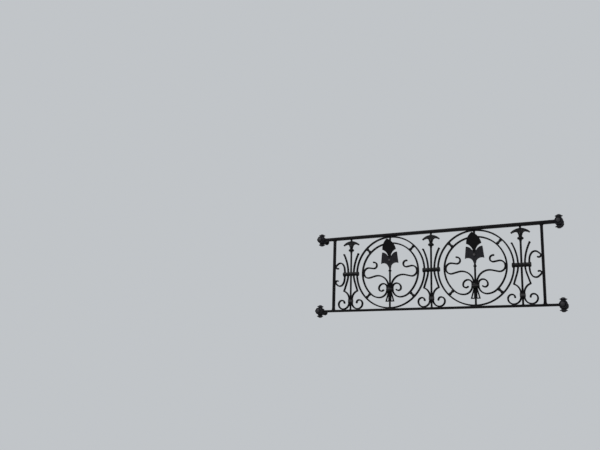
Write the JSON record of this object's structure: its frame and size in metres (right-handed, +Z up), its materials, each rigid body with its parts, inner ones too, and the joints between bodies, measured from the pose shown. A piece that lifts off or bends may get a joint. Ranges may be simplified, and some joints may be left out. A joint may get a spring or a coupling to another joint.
{
  "type": "iron balcony railing",
  "caption": "Low window balcony railing: round ring medallions with flowers and tendrils, lyre scrollwork between posts, two rails, and crowned ball finials held off the wall.",
  "frame": {"origin": "middle of the back face of the lower left wall bracket, on the plane of the wall", "axes": "+X to the right along the rails as seen from the street, +Y into the wall, +Z up"},
  "size_m": [1.244, 0.1071, 0.447],
  "materials": {
    "rail_paint": "old satin black paint on hot-rolled bar",
    "bar_paint": "satin black paint on forged flat and round bar",
    "collar_paint": "satin black paint on turned collars, worn at the edges",
    "casting_paint": "black paint on sand-cast ornament, slightly rough"
  },
  "bodies": {
    "root": {"top_rail": "rail_paint", "bottom_rail": "rail_paint", "left_post": "rail_paint", "right_post": "rail_paint", "left_outer_ring": "bar_paint", "left_inner_ring": "bar_paint", "left_ring_spacers": "collar_paint", "left_flower_stem": "bar_paint", "left_flower_head": "casting_paint", "left_tendrils": "bar_paint", "left_medallion_collar": "collar_paint", "left_tassel": "bar_paint", "right_outer_ring": "bar_paint", "right_inner_ring": "bar_paint", "right_ring_spacers": "collar_paint", "right_flower_stem": "bar_paint", "right_flower_head": "casting_paint", "right_tendrils": "bar_paint", "right_medallion_collar": "collar_paint", "right_tassel": "bar_paint", "left_lyre_stem": "bar_paint", "left_lyre_crown": "casting_paint", "left_lyre_bars": "bar_paint", "left_lyre_collar": "collar_paint", "left_lyre_knot": "collar_paint", "middle_lyre_stem": "bar_paint", "middle_lyre_crown": "casting_paint", "middle_lyre_bars": "bar_paint", "middle_lyre_collar": "collar_paint", "middle_lyre_knot": "collar_paint", "right_lyre_stem": "bar_paint", "right_lyre_crown": "casting_paint", "right_lyre_bars": "bar_paint", "right_lyre_collar": "collar_paint", "right_lyre_knot": "collar_paint", "left_side_scroll": "bar_paint", "right_side_scroll": "bar_paint", "lower_left_finial": "casting_paint", "lower_left_bracket": "rail_paint", "lower_right_finial": "casting_paint", "lower_right_bracket": "rail_paint", "upper_left_finial": "casting_paint", "upper_left_bracket": "rail_paint", "upper_right_finial": "casting_paint", "upper_right_bracket": "rail_paint"}
  },
  "joints": []
}
